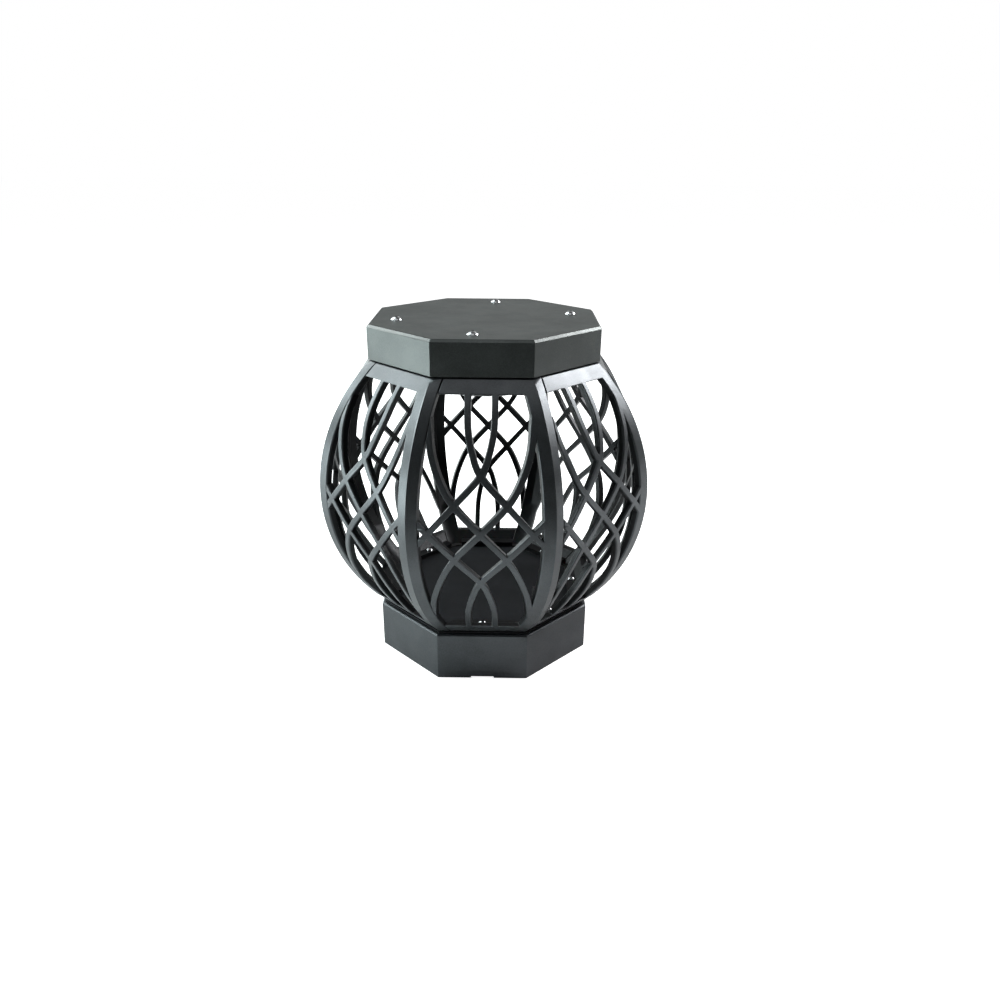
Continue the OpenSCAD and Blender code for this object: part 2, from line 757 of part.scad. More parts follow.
module board_screws() {
  color("#c9cccd") polar(3, board_screw_r, board_z0, lead_a + 60)
    rotate([180, 0, 0]) button_screw(m3_d, m3_head_r, 1.2, board_t + 1.8);
}

module diffuser() {
  centre_z = diffuser_z0 - lens_drop + lens_sphere;
  color("#f4f2ea") union() {
    intersection() {
      difference() {
        translate([0, 0, centre_z]) sphere(r = lens_sphere);
        translate([0, 0, centre_z]) sphere(r = lens_sphere - lens_t);
      }
      translate([0, 0, diffuser_z0 - 2 * lens_drop]) cylinder(r = lens_r, h = 2 * lens_drop + flange_t / 2);
    }
    translate([0, 0, diffuser_z0]) difference() {
      cylinder(r = diffuser_r, h = flange_t);
      translate([0, 0, -1]) cylinder(r = lens_r - 2, h = flange_t + 2);
    }
  }
}

module diffuser_gasket() {
  color("#3a3a3a") translate([0, 0, diffuser_z1]) difference() {
    cylinder(r = diffuser_r, h = gasket_t);
    translate([0, 0, -1]) cylinder(r = lens_r + 1, h = gasket_t + 2);
  }
}

module retaining_ring() {
  color("#8f9394") difference() {
    translate([0, 0, clamp_z0]) cylinder(r = clamp_out, h = tray_z0 - clamp_z0);
    translate([0, 0, diffuser_z0]) cylinder(r = clamp_bore_r, h = 10);
    translate([0, 0, clamp_z0 - 1]) cylinder(r = clamp_bore_r - clamp_lip, h = 10);
    polar(4, clamp_screw_r, clamp_z0 - 1, cap_screw_turn)
      cylinder(d = m3_d + 2 * hole_clear, h = 10);
  }
}

module retaining_screws() {
  color("#c9cccd") polar(4, clamp_screw_r, clamp_z0, cap_screw_turn)
    rotate([180, 0, 0]) button_screw(m3_d, m3_head_r, m3_head_h, tray_z0 - clamp_z0 + 2.2);
}

// Wiring: the lead lies in one upright plane, so its route is a list of (distance out, height)
function arc_points(x, z, bend, first, turn, n) =
  [for (k = [0:n]) [x + bend * cos(first + turn * k / n), z + bend * sin(first + turn * k / n)]];
lead_route = concat(
  [[terminal_x + terminal_l, box_gland_z]],
  arc_points(start_x, low_z, start_bend, -90, 90, 6),
  arc_points(low_x, low_z, lead_bend, 180, -low_turn, 4),
  arc_points(lead_x0, belly_z, lead_arc, -low_turn, low_turn + high_turn, 24),
  arc_points(high_x, high_z, lead_bend, high_turn, 90 - high_turn, 4),
  [[block_x + block_l, gland_z]]
);
// Points that two arcs share are kept once
function no_doubles(q) = [for (i = [0:len(q) - 1]) if (i == 0 || norm(q[i] - knot(q, i - 1)) > 0.05) q[i]];
lead_sides = 12;

module tube(q, r) {
  rings = len(q);
  points = [for (i = [0:rings - 1], k = [0:lead_sides - 1])
    let (n = line_normal(q, i), turn = 360 * k / lead_sides)
    [q[i][0] + r * cos(turn) * n[0], r * sin(turn), q[i][1] + r * cos(turn) * n[1]]];
  walls = [for (i = [0:rings - 2], k = [0:lead_sides - 1])
    let (a = i * lead_sides + k, b = i * lead_sides + (k + 1) % lead_sides)
    each [[a, b, b + lead_sides], [a, b + lead_sides, a + lead_sides]]];
  first_end = [for (k = [lead_sides - 1:-1:0]) k];
  last_end = [for (k = [0:lead_sides - 1]) (rings - 1) * lead_sides + k];
  polyhedron(points = points, faces = concat(walls, [first_end], [last_end]));
}

module supply_lead() {
  color("#101010") rotate([0, 0, lead_a]) tube(no_doubles(lead_route), lead_r);
}

// Saddle clips fill the corner between the lead and the rib
clip_rise = [-62, 0, 62];
clip_h = 8;
clip_w = 9;
clip_lip = 2.5;
function lead_x(rise) = lead_x0 + sqrt(pow(lead_arc, 2) - pow(rise, 2));

module lead_clips() {
  color("#1d1d1d") difference() {
    intersection() {
      rotate([0, 0, half_a]) for (rise = clip_rise) {
        inner_x = lead_x(abs(rise) + clip_h / 2) - lead_r - clip_lip;
        translate([-clip_w / 2, -belly_w, belly_z + rise - clip_h / 2])
          cube([clip_w, belly_w - inner_x, clip_h]);
      }
      face_pair(panel_t + snug);
    }
    rotate([0, 0, lead_a]) for (rise = clip_rise)
      translate([lead_x(rise), 0, belly_z + rise]) rotate([0, -asin(rise / lead_arc), 0])
        cylinder(r = lead_r + 2 * snug, h = 3 * clip_h, center = true);
  }
}

// Cap
module edge_profile(half_w, h, r) {
  translate([-half_w, 0]) square([2 * half_w, h - r]);
  translate([-half_w + r, 0]) square([2 * (half_w - r), h]);
  for (side = [-1, 1]) translate([side * (half_w - r), h - r]) circle(r = r);
}

module cap_shell() {
  ledge_in = cap_a - cap_wall - ledge_w;
  color("#565b59") difference() {
    intersection() {
      translate([0, 0, cap_z0]) linear_extrude(height = cap_h) octagon(cap_a);
      for_faces() edge_profile(cap_a, cap_h, cap_edge_r);
    }
    translate([0, 0, cap_z0 - 1]) linear_extrude(height = ledge_t + 2) octagon(ledge_in);
    translate([0, 0, cap_z0 + ledge_t]) linear_extrude(height = cap_h - ledge_t - cap_top_t)
      octagon(cap_a - cap_wall);
    cap_screw_places(cap_z0 - 1) cylinder(d = m5_d + 2 * hole_clear, h = cap_h + 2);
    cap_screw_places(cap_z1 - washer_t) cylinder(r = washer_r + snug, h = washer_t + 1);
  }
}

// The profile run along all eight edges: what lies inside all four runs
module for_faces() {
  intersection() {
    edge_run(0) children();
    edge_run(1) children();
    edge_run(2) children();
    edge_run(3) children();
  }
}

module edge_run(k) {
  rotate([0, 0, k * step_a]) translate([0, 2 * cap_a, cap_z0]) rotate([90, 0, 0])
    linear_extrude(height = 4 * cap_a) children();
}

// Sleeves round the cap screws take their pull, so that the cap keeps its shape
module cap_sleeves() {
  color("#8f9394") cap_screw_places(body_z1 + snug) difference() {
    cylinder(r = cap_sleeve_r, h = cap_z1 - cap_top_t - body_z1 - snug);
    translate([0, 0, -1]) cylinder(d = m5_d + 2 * hole_clear, h = cap_h + 2);
  }
}

module cap_gasket() {
  color("#0e0e0e") translate([0, 0, body_z1 + snug]) linear_extrude(height = cap_gasket_t - snug)
    difference() {
      octagon(top_flats / 2 - 1.2);
      octagon(ring_a - 2);
    }
}

module cap_screws() {
  color("#d2d4d5") cap_screw_places(cap_z1)
    button_screw(m5_d, m5_head_r, m5_head_h, cap_screw_l);
}

module cap_washers() {
  color("#141414") cap_screw_places(cap_z1 - washer_t) difference() {
    cylinder(r = washer_r, h = washer_t);
    translate([0, 0, -1]) cylinder(d = m5_d + 2 * thread_clear, h = washer_t + 2);
  }
}

base_shell();
foot_posts();
base_grommet();
earth_stud();
earth_nuts();
junction_box();
junction_lid();
junction_terminals();
junction_screws();
inlet_gland();
outlet_gland();
floor_plate();
floor_gasket();
floor_grommet();
foot_screws();
for (i = [1:sides])
  side_panel(i);
top_ring();
ring_screws();
gear_tray();
tray_screws();
tray_gland();
terminal_block();
driver();
driver_screws();
link_wires();
led_wires();
led_board();
led_chips();
board_screws();
diffuser();
diffuser_gasket();
retaining_ring();
retaining_screws();
supply_lead();
lead_clips();
cap_shell();
cap_sleeves();
cap_gasket();
cap_screws();
cap_washers();
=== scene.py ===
import json
import math
import bpy
import bmesh
from mathutils import Matrix, Vector


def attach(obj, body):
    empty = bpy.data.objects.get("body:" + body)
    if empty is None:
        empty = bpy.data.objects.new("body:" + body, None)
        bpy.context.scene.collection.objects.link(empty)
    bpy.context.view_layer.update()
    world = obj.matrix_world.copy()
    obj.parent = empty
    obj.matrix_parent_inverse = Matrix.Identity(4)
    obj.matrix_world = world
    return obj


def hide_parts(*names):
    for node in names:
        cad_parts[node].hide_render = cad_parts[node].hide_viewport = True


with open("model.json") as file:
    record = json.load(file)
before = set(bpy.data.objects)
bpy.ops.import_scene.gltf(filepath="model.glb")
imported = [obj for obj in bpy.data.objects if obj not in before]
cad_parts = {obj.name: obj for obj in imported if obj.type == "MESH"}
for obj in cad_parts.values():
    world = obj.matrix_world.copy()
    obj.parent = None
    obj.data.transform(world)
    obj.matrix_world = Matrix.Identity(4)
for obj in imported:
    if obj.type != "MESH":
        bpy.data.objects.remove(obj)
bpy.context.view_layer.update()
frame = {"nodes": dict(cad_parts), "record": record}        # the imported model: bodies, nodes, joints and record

# Everything is in metres, so sizes in millimetres are written as 188 * mm
mm = 0.001
sides = 8
stepTurn = 2 * math.pi / sides
halfTurn = stepTurn / 2
scene = bpy.context.scene
cadNodes = frame["nodes"]


# A socket's value in an expression: each operator adds its Math node
class Wire:
    def __init__(self, look, socket):
        self.look = look
        self.socket = socket

    def __add__(self, other):
        return self.look.maths("ADD", self, other)

    def __mul__(self, other):
        return self.look.maths("MULTIPLY", self, other)

    __radd__ = __add__
    __rmul__ = __mul__


# A node tree that is put together one node at a time
class Nodes:
    def __init__(self, tree):
        self.tree = tree

    def feed(self, socket, value):
        if isinstance(value, Wire):
            self.tree.links.new(value.socket, socket)
        elif socket.type == "RGBA":
            socket.default_value = (*value, 1)
        else:
            socket.default_value = value

    def add(self, kind, settings=None, sockets=None, out=0):
        node = self.tree.nodes.new("ShaderNode" + kind)
        for name, value in (settings or {}).items():
            setattr(node, name, value)
        for name, value in (sockets or {}).items():
            self.feed(node.inputs[name], value)
        return Wire(self, node.outputs[out])

    def maths(self, operation, a, b):
        return self.add("Math", {"operation": operation}, {0: a, 1: b})

    # 0 below low, 1 above high
    def ramp(self, value, low, high):
        return self.add("MapRange", {"interpolation_type": "SMOOTHSTEP"},
                        {"Value": value, "From Min": low, "From Max": high})

    # Colour a where share is 0, b where it is 1
    def mixColour(self, share, a, b):
        return self.add("Mix", {"data_type": "RGBA"}, {0: share, 6: a, 7: b}, 2)

    # 1 for what the camera sees, directly or through something clear, and for what metal mirrors from behind
    def seenWhite(self, behind):
        rays = self.add("LightPath").socket.node.outputs
        direct = Wire(self, rays["Is Camera Ray"]) + Wire(self, rays["Is Transmission Ray"])
        return self.maths("MINIMUM", direct + behind * Wire(self, rays["Is Glossy Ray"]), 1.0)

    def finish(self, kind, shader):
        self.feed(self.tree.nodes[kind + " Output"].inputs["Surface"], shader)


# A material on the principled shader
class Look(Nodes):
    def __init__(self, name, **constants):
        self.material = bpy.data.materials.new(name)
        self.material.use_nodes = True
        super().__init__(self.material.node_tree)
        self.shader = self.tree.nodes["Principled BSDF"]
        self.place = self.add("TexCoord", out="Object")
        for socket, value in constants.items():
            self.set(socket.replace("_", " "), value)

    def set(self, socket, value):
        self.feed(self.shader.inputs[socket], value)

    # Noise from 0 to 1, with its features about size across
    def noise(self, size, detail=2.0, roughness=0.5):
        return self.add("TexNoise", {}, {"Vector": self.place, "Scale": 1 / size, "Detail": detail,
                                         "Roughness": roughness})

    def bump(self, height, strength, depth):
        self.set("Normal", self.add("Bump", {}, {"Height": height, "Strength": strength, "Distance": depth}))


paint = {
    "cap": (0.077, 0.086, 0.084),
    "body": (0.076, 0.083, 0.088),
    "base": (0.06, 0.065, 0.07),
    "ring": (0.05, 0.058, 0.06),
    "floor": (0.007, 0.008, 0.01),
    "behind": (0.009, 0.01, 0.011),      # painted shade: near black behind the castings' outer face, on the bars' flanks and inside
}


# Powder coat: a fine orange-peel skin on metal, a little duller where it is thicker. On the castings its colour
# holds
# painted shade: it turns black behind the outer face, on the bars' flanks and inside, where shade falls
def powderCoat(name, colour, roughness, grain, grainSize, waves=0.0, paintedShadeBehind=False, **constants):
    look = Look(name, **constants)
    cloud = look.noise(38 * mm, 3)
    fleck = look.noise(0.9 * mm, 2)
    lighter = tuple(min(1, c * 1.22) for c in colour)
    darker = tuple(c * 0.86 for c in colour)
    tone = look.ramp(cloud * 0.6 + fleck * 0.4, 0.35, 0.65)
    skinColour = look.mixColour(tone, darker, lighter)
    if paintedShadeBehind:
        # painted shade: the colour goes near black with depth behind the outer face
        behind = look.ramp(look.add("Attribute", {"attribute_name": "paintedShadeDepth"}, out="Fac"), 0.12, 0.36)
        skinColour = look.mixColour(behind, skinColour, paint["behind"])
    look.set("Base Color", skinColour)
    look.set("Roughness", roughness - 0.02 + 0.04 * look.ramp(look.noise(14 * mm, 3), 0.35, 0.65))
    skin = look.noise(grainSize, 3, 0.6)
    if waves:
        skin = skin + waves * look.noise(7 * mm, 2)
    look.bump(skin, grain, 0.06 * mm)
    return look.material


def brushedMetal(name, colour, roughness, size=1.4 * mm):
    look = Look(name, Metallic=1.0)
    streak = look.noise(size, 4, 0.65)
    duller = tuple(c * 0.86 for c in colour)
    look.set("Base Color", look.mixColour(look.ramp(streak, 0.3, 0.7), duller, colour))
    look.set("Roughness", roughness - 0.05 + 0.1 * look.noise(6 * mm, 3))
    look.bump(streak, 0.12, 0.02 * mm)
    return look.material


def plastic(name, colour, roughness, grain=0.15, **constants):
    look = Look(name, **constants)
    mottle = look.ramp(look.noise(9 * mm, 3), 0.3, 0.7)
    look.set("Base Color", look.mixColour(mottle, tuple(c * 0.9 for c in colour), colour))
    look.set("Roughness", roughness + 0.08 * look.noise(5 * mm, 2))
    look.bump(look.noise(0.6 * mm, 2), grain, 0.03 * mm)
    return look.material


def rubber(name, colour):
    look = Look(name, Specular_IOR_Level=0.35)
    bloom = look.ramp(look.noise(16 * mm, 4, 0.6), 0.45, 0.75)
    look.set("Base Color", look.mixColour(bloom, colour, tuple(c * 2.2 + 0.004 for c in colour)))
    look.set("Roughness", 0.62 + 0.2 * bloom)
    look.bump(look.noise(0.5 * mm, 2), 0.3, 0.03 * mm)
    return look.material


def opalPlastic(name, colour):
    look = Look(name, Subsurface_Weight=0.35, Subsurface_Scale=4 * mm, Roughness=0.32)
    look.set("Base Color", look.mixColour(look.noise(30 * mm, 2), tuple(c * 0.96 for c in colour), colour))
    look.bump(look.noise(1.2 * mm, 2), 0.08, 0.03 * mm)
    return look.material


finishes = {
    "cap_paint": powderCoat("capPaint", paint["cap"], 0.39, 0.35, 0.8 * mm, Metallic=0.62),
    "panel_paint": powderCoat("castingPaint", paint["body"], 0.36, 0.4, 0.9 * mm, 0.6, True, Metallic=0.62),
    "base_paint": powderCoat("basePaint", paint["base"], 0.39, 0.35, 0.8 * mm, Metallic=0.62),
    "ring_paint": powderCoat("ringPaint", paint["ring"], 0.42, 0.35, 0.8 * mm, Metallic=0.6),
    "floor_black": powderCoat("floorBlack", paint["floor"], 0.66, 0.4, 0.8 * mm, Specular_IOR_Level=0.22),
    "seal_rubber": rubber("sealRubber", (0.012, 0.012, 0.012)),
    "lead_black": rubber("leadSheath", (0.01, 0.01, 0.01)),
    "gland_black": plastic("glandNylon", (0.016, 0.016, 0.017), 0.4),
    "stainless": brushedMetal("stainless", (0.5, 0.51, 0.52), 0.24, 0.9 * mm),
    "brass": brushedMetal("brass", (0.7, 0.5, 0.2), 0.28),
    "tray_aluminium": brushedMetal("trayAluminium", (0.62, 0.63, 0.64), 0.36),
    "ring_aluminium": brushedMetal("ringAluminium", (0.56, 0.57, 0.58), 0.4),
    "board_white": plastic("boardMask", (0.82, 0.82, 0.79), 0.35),
    "chip_phosphor": plastic("chipPhosphor", (0.85, 0.66, 0.2), 0.3),
    "opal": opalPlastic("opalLens", (0.86, 0.86, 0.83)),
    "driver_white": plastic("driverCase", (0.76, 0.76, 0.73), 0.42),
    "terminal_ivory": plastic("terminalNylon", (0.68, 0.66, 0.58), 0.4),
    "box_grey": plastic("junctionGrey", (0.3, 0.31, 0.31), 0.45),
    "wire_blue": plastic("blueWire", (0.03, 0.12, 0.4), 0.38),
    "wire_red": plastic("redWire", (0.4, 0.03, 0.02), 0.38),
}
slotOf = {}
for subpart in frame["record"]["subparts"]:
    slotOf[subpart["node"]] = subpart["material_slot"]


for name, node in cadNodes.items():
    for slot in node.material_slots:
        slot.material = finishes[slotOf[name]]
print("finishes on", len(cadNodes), "CAD nodes")


sharpFrom = math.radians(38)      # edges from this angle on are drawn sharp


# Makes the finished object of a mesh that is in place and fixes it to its body
def finishPiece(name, bm, bodyName, slotName, stands):
    bmesh.ops.recalc_face_normals(bm, faces=bm.faces)
    for face in bm.faces:
        face.smooth = True
    for edge in bm.edges:
        edge.smooth = len(edge.link_faces) == 2 and edge.calc_face_angle() < sharpFrom
    mesh = bpy.data.meshes.new(name)
    bm.to_mesh(mesh)
    bm.free()
    piece = bpy.data.objects.new(name, mesh)
    scene.collection.objects.link(piece)
    mesh.materials.append(finishes[slotName])
    keep = piece.modifiers.new("flatFaces", "WEIGHTED_NORMAL")
    keep.keep_sharp = True
    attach(piece, bodyName)
    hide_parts(*stands)


# The solids' mesh with its loose triangles merged into whole faces
def mergedCopy(node):
    bm = bmesh.new()
    bm.from_mesh(cadNodes[node].data)
    bmesh.ops.remove_doubles(bm, verts=bm.verts, dist=0.01 * mm)
    bmesh.ops.dissolve_limit(bm, angle_limit=math.radians(0.5), verts=bm.verts, edges=bm.edges)
    return bm


def roundOff(bm, edges, size, segments):
    bmesh.ops.bevel(bm, geom=edges, offset=size, segments=segments, profile=0.5, affect="EDGES",
                    material=-1, offset_type="OFFSET")


# The cage's shape: every rib and face follows one arc, worked out from three widths
shape = {
    "bellyWidth": 300 * mm,      # across the ribs at the widest point
    "footFlats": 180.3 * mm,     # across the flats at the foot
    "topFlats": 187.4 * mm,      # and at the top
    "foot": 46 * mm,
    "top": 270.5 * mm,
}
bodyHeight = shape["top"] - shape["foot"]
bellyOut = shape["bellyWidth"] / 2 * math.cos(halfTurn)
footBack = bellyOut - shape["footFlats"] / 2
topBack = bellyOut - shape["topFlats"] / 2
leanShort = bodyHeight ** 2 + (footBack - topBack) ** 2
leanLong = bodyHeight ** 2 + (footBack + topBack) ** 2
faceRadius = leanLong / (2 * (footBack + topBack)
                         + 4 * bodyHeight * math.sqrt(footBack * topBack / leanShort))
bellyZ = shape["foot"] + math.sqrt(2 * faceRadius * footBack - footBack ** 2)


# Distance from the axis of the skin that lies depth under the outer one
def faceAt(z, depth=0.0):
    return bellyOut - faceRadius + math.sqrt((faceRadius - depth) ** 2 - (z - bellyZ) ** 2)


def cornerAt(z):
    return faceAt(z) * math.tan(halfTurn)


# How far a point lies out along the nearest of the eight faces
def outAlongFace(point):
    return max(abs(point.x * math.cos(k * stepTurn) + point.y * math.sin(k * stepTurn)) for k in range(4))


casting = {
    "wall": 5 * mm,
    "ribWidth": 8.3 * mm,        # each wing of a rib, square to it
    "seam": 0.5 * mm,
    "topRail": 10.5 * mm,
    "bottomRail": 11 * mm,
    "barWidth": 5 * mm,
    "crossU": 20.5 * mm,         # between the crossings, across and up
    "crossZ": 22.5 * mm,
    "innerU": 10.5 * mm,         # where the inner bars meet the top rail
    "innerFootU": 11.2 * mm,
    "outerU": 40.3 * mm,         # where the outer bars run into the ribs
    "slices": 56,                # flat strips that follow the arc
    "barSteps": 4,
    "railFrom": -60 * mm,        # the rails' ends, before the seam is cut
    "railLength": 95 * mm,
    "frontRound": 0.8 * mm,
    "backRound": 0.4 * mm,
    "cornerFillet": 0.5 * mm,
    "ribRound": 0.6 * mm,
    "smallWindowU": 44 * mm,     # the window between the middle bars' crossing and the rib
    "smallWindowZ": 9 * mm,
    # bar ends at the seam: left of u, and this near to and far from the belly's height
    "seamEnds": ((46 * mm, 4 * mm, 20 * mm), (33 * mm, 76 * mm, 92 * mm)),
}
windowTop = shape["top"] - casting["topRail"] - bellyZ
windowBottom = bellyZ - shape["foot"] - casting["bottomRail"]
wingU = casting["ribWidth"] / math.cos(halfTurn)
seamU = (casting["ribWidth"] + casting["seam"]) / math.cos(halfTurn)
sliceZ = [shape["foot"] + bodyHeight * k / casting["slices"] for k in range(casting["slices"] + 1)]


# A smooth line through the knots
def smoothLine(points, steps):
    knots = [Vector(p) for p in points]
    knots = [knots[0]] + knots + [knots[-1]]
    line = []
    for a, b, c, d in zip(knots, knots[1:], knots[2:], knots[3:]):
        for k in range(steps):
            t = k / steps
            line.append(0.5 * (2 * b + (c - a) * t + (2 * a - 5 * b + 4 * c - d) * t ** 2
                               + (3 * b - a - 3 * c + d) * t ** 3))
    return line + [knots[-1]]


def innerBar(end, endU):
    cu, cz = casting["crossU"], casting["crossZ"]

    def up(share):
        return 2 * cz + (end - 2 * cz) * share
    return [(3 * cu, -cz), (2 * cu, 0), (cu, cz), (0, 2 * cz), (-0.6 * endU, up(0.27)),
            (-0.93 * endU, up(0.55)), (-endU, up(0.8)), (-endU, end + 2 * mm)]


def outerBar(end):
    cu, cz, ou = casting["crossU"], casting["crossZ"], casting["outerU"]

    def up(share):
        return cz + (end - cz) * share
    return [(cu, cz), (0.76 * ou, up(0.226)), (0.93 * ou, up(0.484)), (0.99 * ou, up(0.74)), (ou, up(0.87))]


def turned(points):
    return [(-u, -z) for u, z in points]


# A slab of the flat pattern: a grid whose corners are put in place, then pulled to its thickness
def addSlab(bm, rows, columns, place, front, back):
    grid = bmesh.ops.create_grid(bm, x_segments=columns, y_segments=rows, size=0.5)
    for v in grid["verts"]:
        u, z = place(round((v.co.y + 0.5) * rows), round((v.co.x + 0.5) * columns))
        v.co = (u, front, z)
    faces = list(dict.fromkeys(f for v in grid["verts"] for f in v.link_faces))
    grown = bmesh.ops.extrude_face_region(bm, geom=faces)
    pulled = [g for g in grown["geom"] if isinstance(g, bmesh.types.BMVert)]
    bmesh.ops.translate(bm, verts=pulled, vec=(0, back - front, 0))


def addBar(bm, points):
    line = smoothLine(points, casting["barSteps"])
    last = len(line) - 1

    def place(row, column):
        along = (line[min(row + 1, last)] - line[max(row - 1, 0)]).normalized()
        spot = line[row] + Vector((along.y, -along.x)) * casting["barWidth"] * (column - 0.5)
        return spot.x, spot.y + bellyZ
    addSlab(bm, last, 1, place, 0, casting["wall"])


# Puts a mesh's parts in one order. The operators hand them on in an order that changes from run to run,
# and the later ones would give a slightly different casting each time
def inOrder(bm):
    micron = 0.001 * mm

    def spot(v):
        return tuple(round(c / micron) for c in v.co)

    def corners(part):
        return sorted(v.index for v in part.verts)
    for parts, key in ((bm.verts, spot), (bm.edges, corners), (bm.faces, corners)):
        for rank, part in enumerate(sorted(parts, key=key)):
            part.index = rank
        parts.sort()


def looseObject(name, bm, materials=1):
    inOrder(bm)
    bmesh.ops.recalc_face_normals(bm, faces=bm.faces)
    mesh = bpy.data.meshes.new(name)
    bm.to_mesh(mesh)
    bm.free()
    for k in range(materials):
        mesh.materials.append(None)
    piece = bpy.data.objects.new(name, mesh)
    scene.collection.objects.link(piece)
    return piece


def joinShapes(piece, other, operation, useSelf=False):
    cut = piece.modifiers.new("cut", "BOOLEAN")
    cut.operation = operation
    cut.solver = "EXACT"
    cut.use_self = useSelf
    cut.object = other
    bpy.context.view_layer.update()
    done = piece.evaluated_get(bpy.context.evaluated_depsgraph_get())
    mesh = bpy.data.meshes.new_from_object(done)
    piece.modifiers.clear()
    piece.data = mesh
    bpy.data.objects.remove(other)


def mergeFlat(bm):
    inOrder(bm)
    bmesh.ops.dissolve_limit(bm, angle_limit=math.radians(0.05), verts=bm.verts, edges=bm.edges,
                             delimit={"MATERIAL"})
    inOrder(bm)


# The pattern of one casting while it is still flat: bars, rails and the rib with its wing
def flatCasting():
    wall = casting["wall"]
    bars = bmesh.new()
    middle = turned(reversed(outerBar(windowBottom))) + [(0, 0)] + outerBar(windowTop)
    foot = turned(innerBar(windowBottom, casting["innerFootU"]))
    for points in (innerBar(windowTop, casting["innerU"]), foot, middle):
        addBar(bars, points)
        addBar(bars, [(-u, z) for u, z in points])
    frameBm = bmesh.new()
    addSlab(frameBm, casting["slices"], 2,
            lambda row, column: (cornerAt(sliceZ[row]) + wingU * (column - 1), sliceZ[row]), 0, wall)
    for low, high in ((shape["foot"], shape["foot"] + casting["bottomRail"]),
                      (shape["top"] - casting["topRail"], shape["top"])):
        addSlab(frameBm, 1, 1,
                lambda row, column: (casting["railFrom"] + casting["railLength"] * column,
                                     low + (high - low) * row), 0, wall)
    # the wing beyond the fold has a slot of its own, so that the fold's edges outlast mergeFlat
    for face in frameBm.faces:
        middleSpot = face.calc_center_median()
        if middleSpot.x > cornerAt(min(max(middleSpot.z, shape["foot"]), shape["top"])) + mm:
            face.material_index = 1
    spare = bmesh.new()
    last = casting["slices"]
    addSlab(spare, last, 1,
            lambda row, column: (-cornerAt(sliceZ[row]) + seamU if column else -90 * mm,
                                 sliceZ[row] + mm * ((row == last) - (row == 0))), -mm, wall + mm)
    plate = looseObject("castingPlate", frameBm, 2)
    joinShapes(plate, looseObject("bars", bars), "UNION", True)
    joinShapes(plate, looseObject("spare", spare), "DIFFERENCE")
    bm = bmesh.new()
    bm.from_mesh(plate.data)
    bpy.data.objects.remove(plate)
    bmesh.ops.remove_doubles(bm, verts=bm.verts, dist=0.01 * mm)
    mergeFlat(bm)
    return bm


def onFold(v):
    return abs(v.co.x - cornerAt(v.co.z)) < 0.02 * mm


# Rounds the flat pattern's inner corners, cuts its front and back into triangles and rounds both rims
def roundPattern(bm):
    wall = casting["wall"]

    def isThrough(e):
        return (e.verts[0].co.xz - e.verts[1].co.xz).length < 0.001 * mm and len(e.link_faces) == 2

    def isSharp(e):
        return e.calc_face_angle() > math.radians(20)
    through = [e for e in bm.edges if isThrough(e)]
    corners = [e.verts[0].co.xz.copy() for e in through if isSharp(e)]
    crowded = [e for e in through if not isSharp(e) and not onFold(e.verts[0])
               and any((e.verts[0].co.xz - spot).length < casting["cornerFillet"] * 1.25 for spot in corners)]
    ends = dict.fromkeys(v for e in crowded for v in e.verts)
    bmesh.ops.dissolve_edges(bm, edges=crowded, use_verts=False)
    bmesh.ops.dissolve_verts(bm, verts=[v for v in ends if v.is_valid and len(v.link_edges) == 2])

    # narrow corners, and the small window by the rib, have no room for a fillet
    def hasRoom(e):
        spot = e.verts[0].co
        inSmallWindow = spot.x > casting["smallWindowU"] and abs(spot.z - bellyZ) < casting["smallWindowZ"]
        return e.calc_face_angle() < math.radians(150) and not inSmallWindow
    inOrder(bm)
    inner = [e for e in bm.edges if isThrough(e) and isSharp(e) and not e.is_convex and hasRoom(e)]
    roundOff(bm, inner, casting["cornerFillet"], 3)
    mergeFlat(bm)
    bmesh.ops.triangulate(bm, faces=[f for f in bm.faces if abs(f.normal.y) > 0.99])

    # where the bars run out at the seam their rims stay sharp
    def atSeam(v):
        away = abs(v.co.z - bellyZ)
        return any(v.co.x < -u and near < away < far for u, near, far in casting["seamEnds"])

    def rim(y):
        return [e for e in bm.edges if all(abs(v.co.y - y) < 0.001 * mm for v in e.verts)
                and len(e.link_faces) == 2 and e.calc_face_angle() > math.radians(60)]

    weight = bm.edges.layers.float.new("bevel_weight_edge")
    for e in rim(0):
        e[weight] = 1
    for e in rim(wall):
        e[weight] = casting["backRound"] / casting["frontRound"]
    for e in bm.edges:
        if atSeam(e.verts[0]) or atSeam(e.verts[1]):
            e[weight] = 0
    plate = looseObject("roundedPlate", bm, 2)
    soft = plate.modifiers.new("round", "BEVEL")
    soft.limit_method = "WEIGHT"
    soft.width = casting["frontRound"]
    soft.segments = 4
    soft.use_clamp_overlap = False
    soft.loop_slide = False      # keeps the rounding even where a joining edge meets the rim at a slant
    bpy.context.view_layer.update()
    mesh = bpy.data.meshes.new_from_object(plate.evaluated_get(bpy.context.evaluated_depsgraph_get()))
    bpy.data.objects.remove(plate)
    bm = bmesh.new()
    bm.from_mesh(mesh)
    for face in bm.faces:
        face.material_index = 0
    return bm


# Bends the flat pattern to the arc and folds the wing round the rib
def bendPattern(bm):
    for z in sliceZ[1:-1]:
        bmesh.ops.bisect_plane(bm, geom=bm.verts[:] + bm.edges[:] + bm.faces[:], dist=0.002 * mm,
                               plane_co=(0, 0, z), plane_no=(0, 0, 1))
    fold = [e for e in bm.edges if onFold(e.verts[0]) and onFold(e.verts[1])
            and all(v.co.y < 0.001 * mm for v in e.verts)]
    turn = Matrix.Rotation(stepTurn, 3, "Z")
    for v in bm.verts:
        u, depth, z = v.co
        out = faceAt(z, depth)
        shrink = out / faceAt(z)
        if u <= cornerAt(z):
            v.co = (u * shrink, -out, z)
        else:
            v.co = turn @ Vector(((u - 2 * cornerAt(z)) * shrink, -out, z))
    roundOff(bm, fold, casting["ribRound"], 3)
    bmesh.ops.remove_doubles(bm, verts=bm.verts, dist=0.005 * mm)


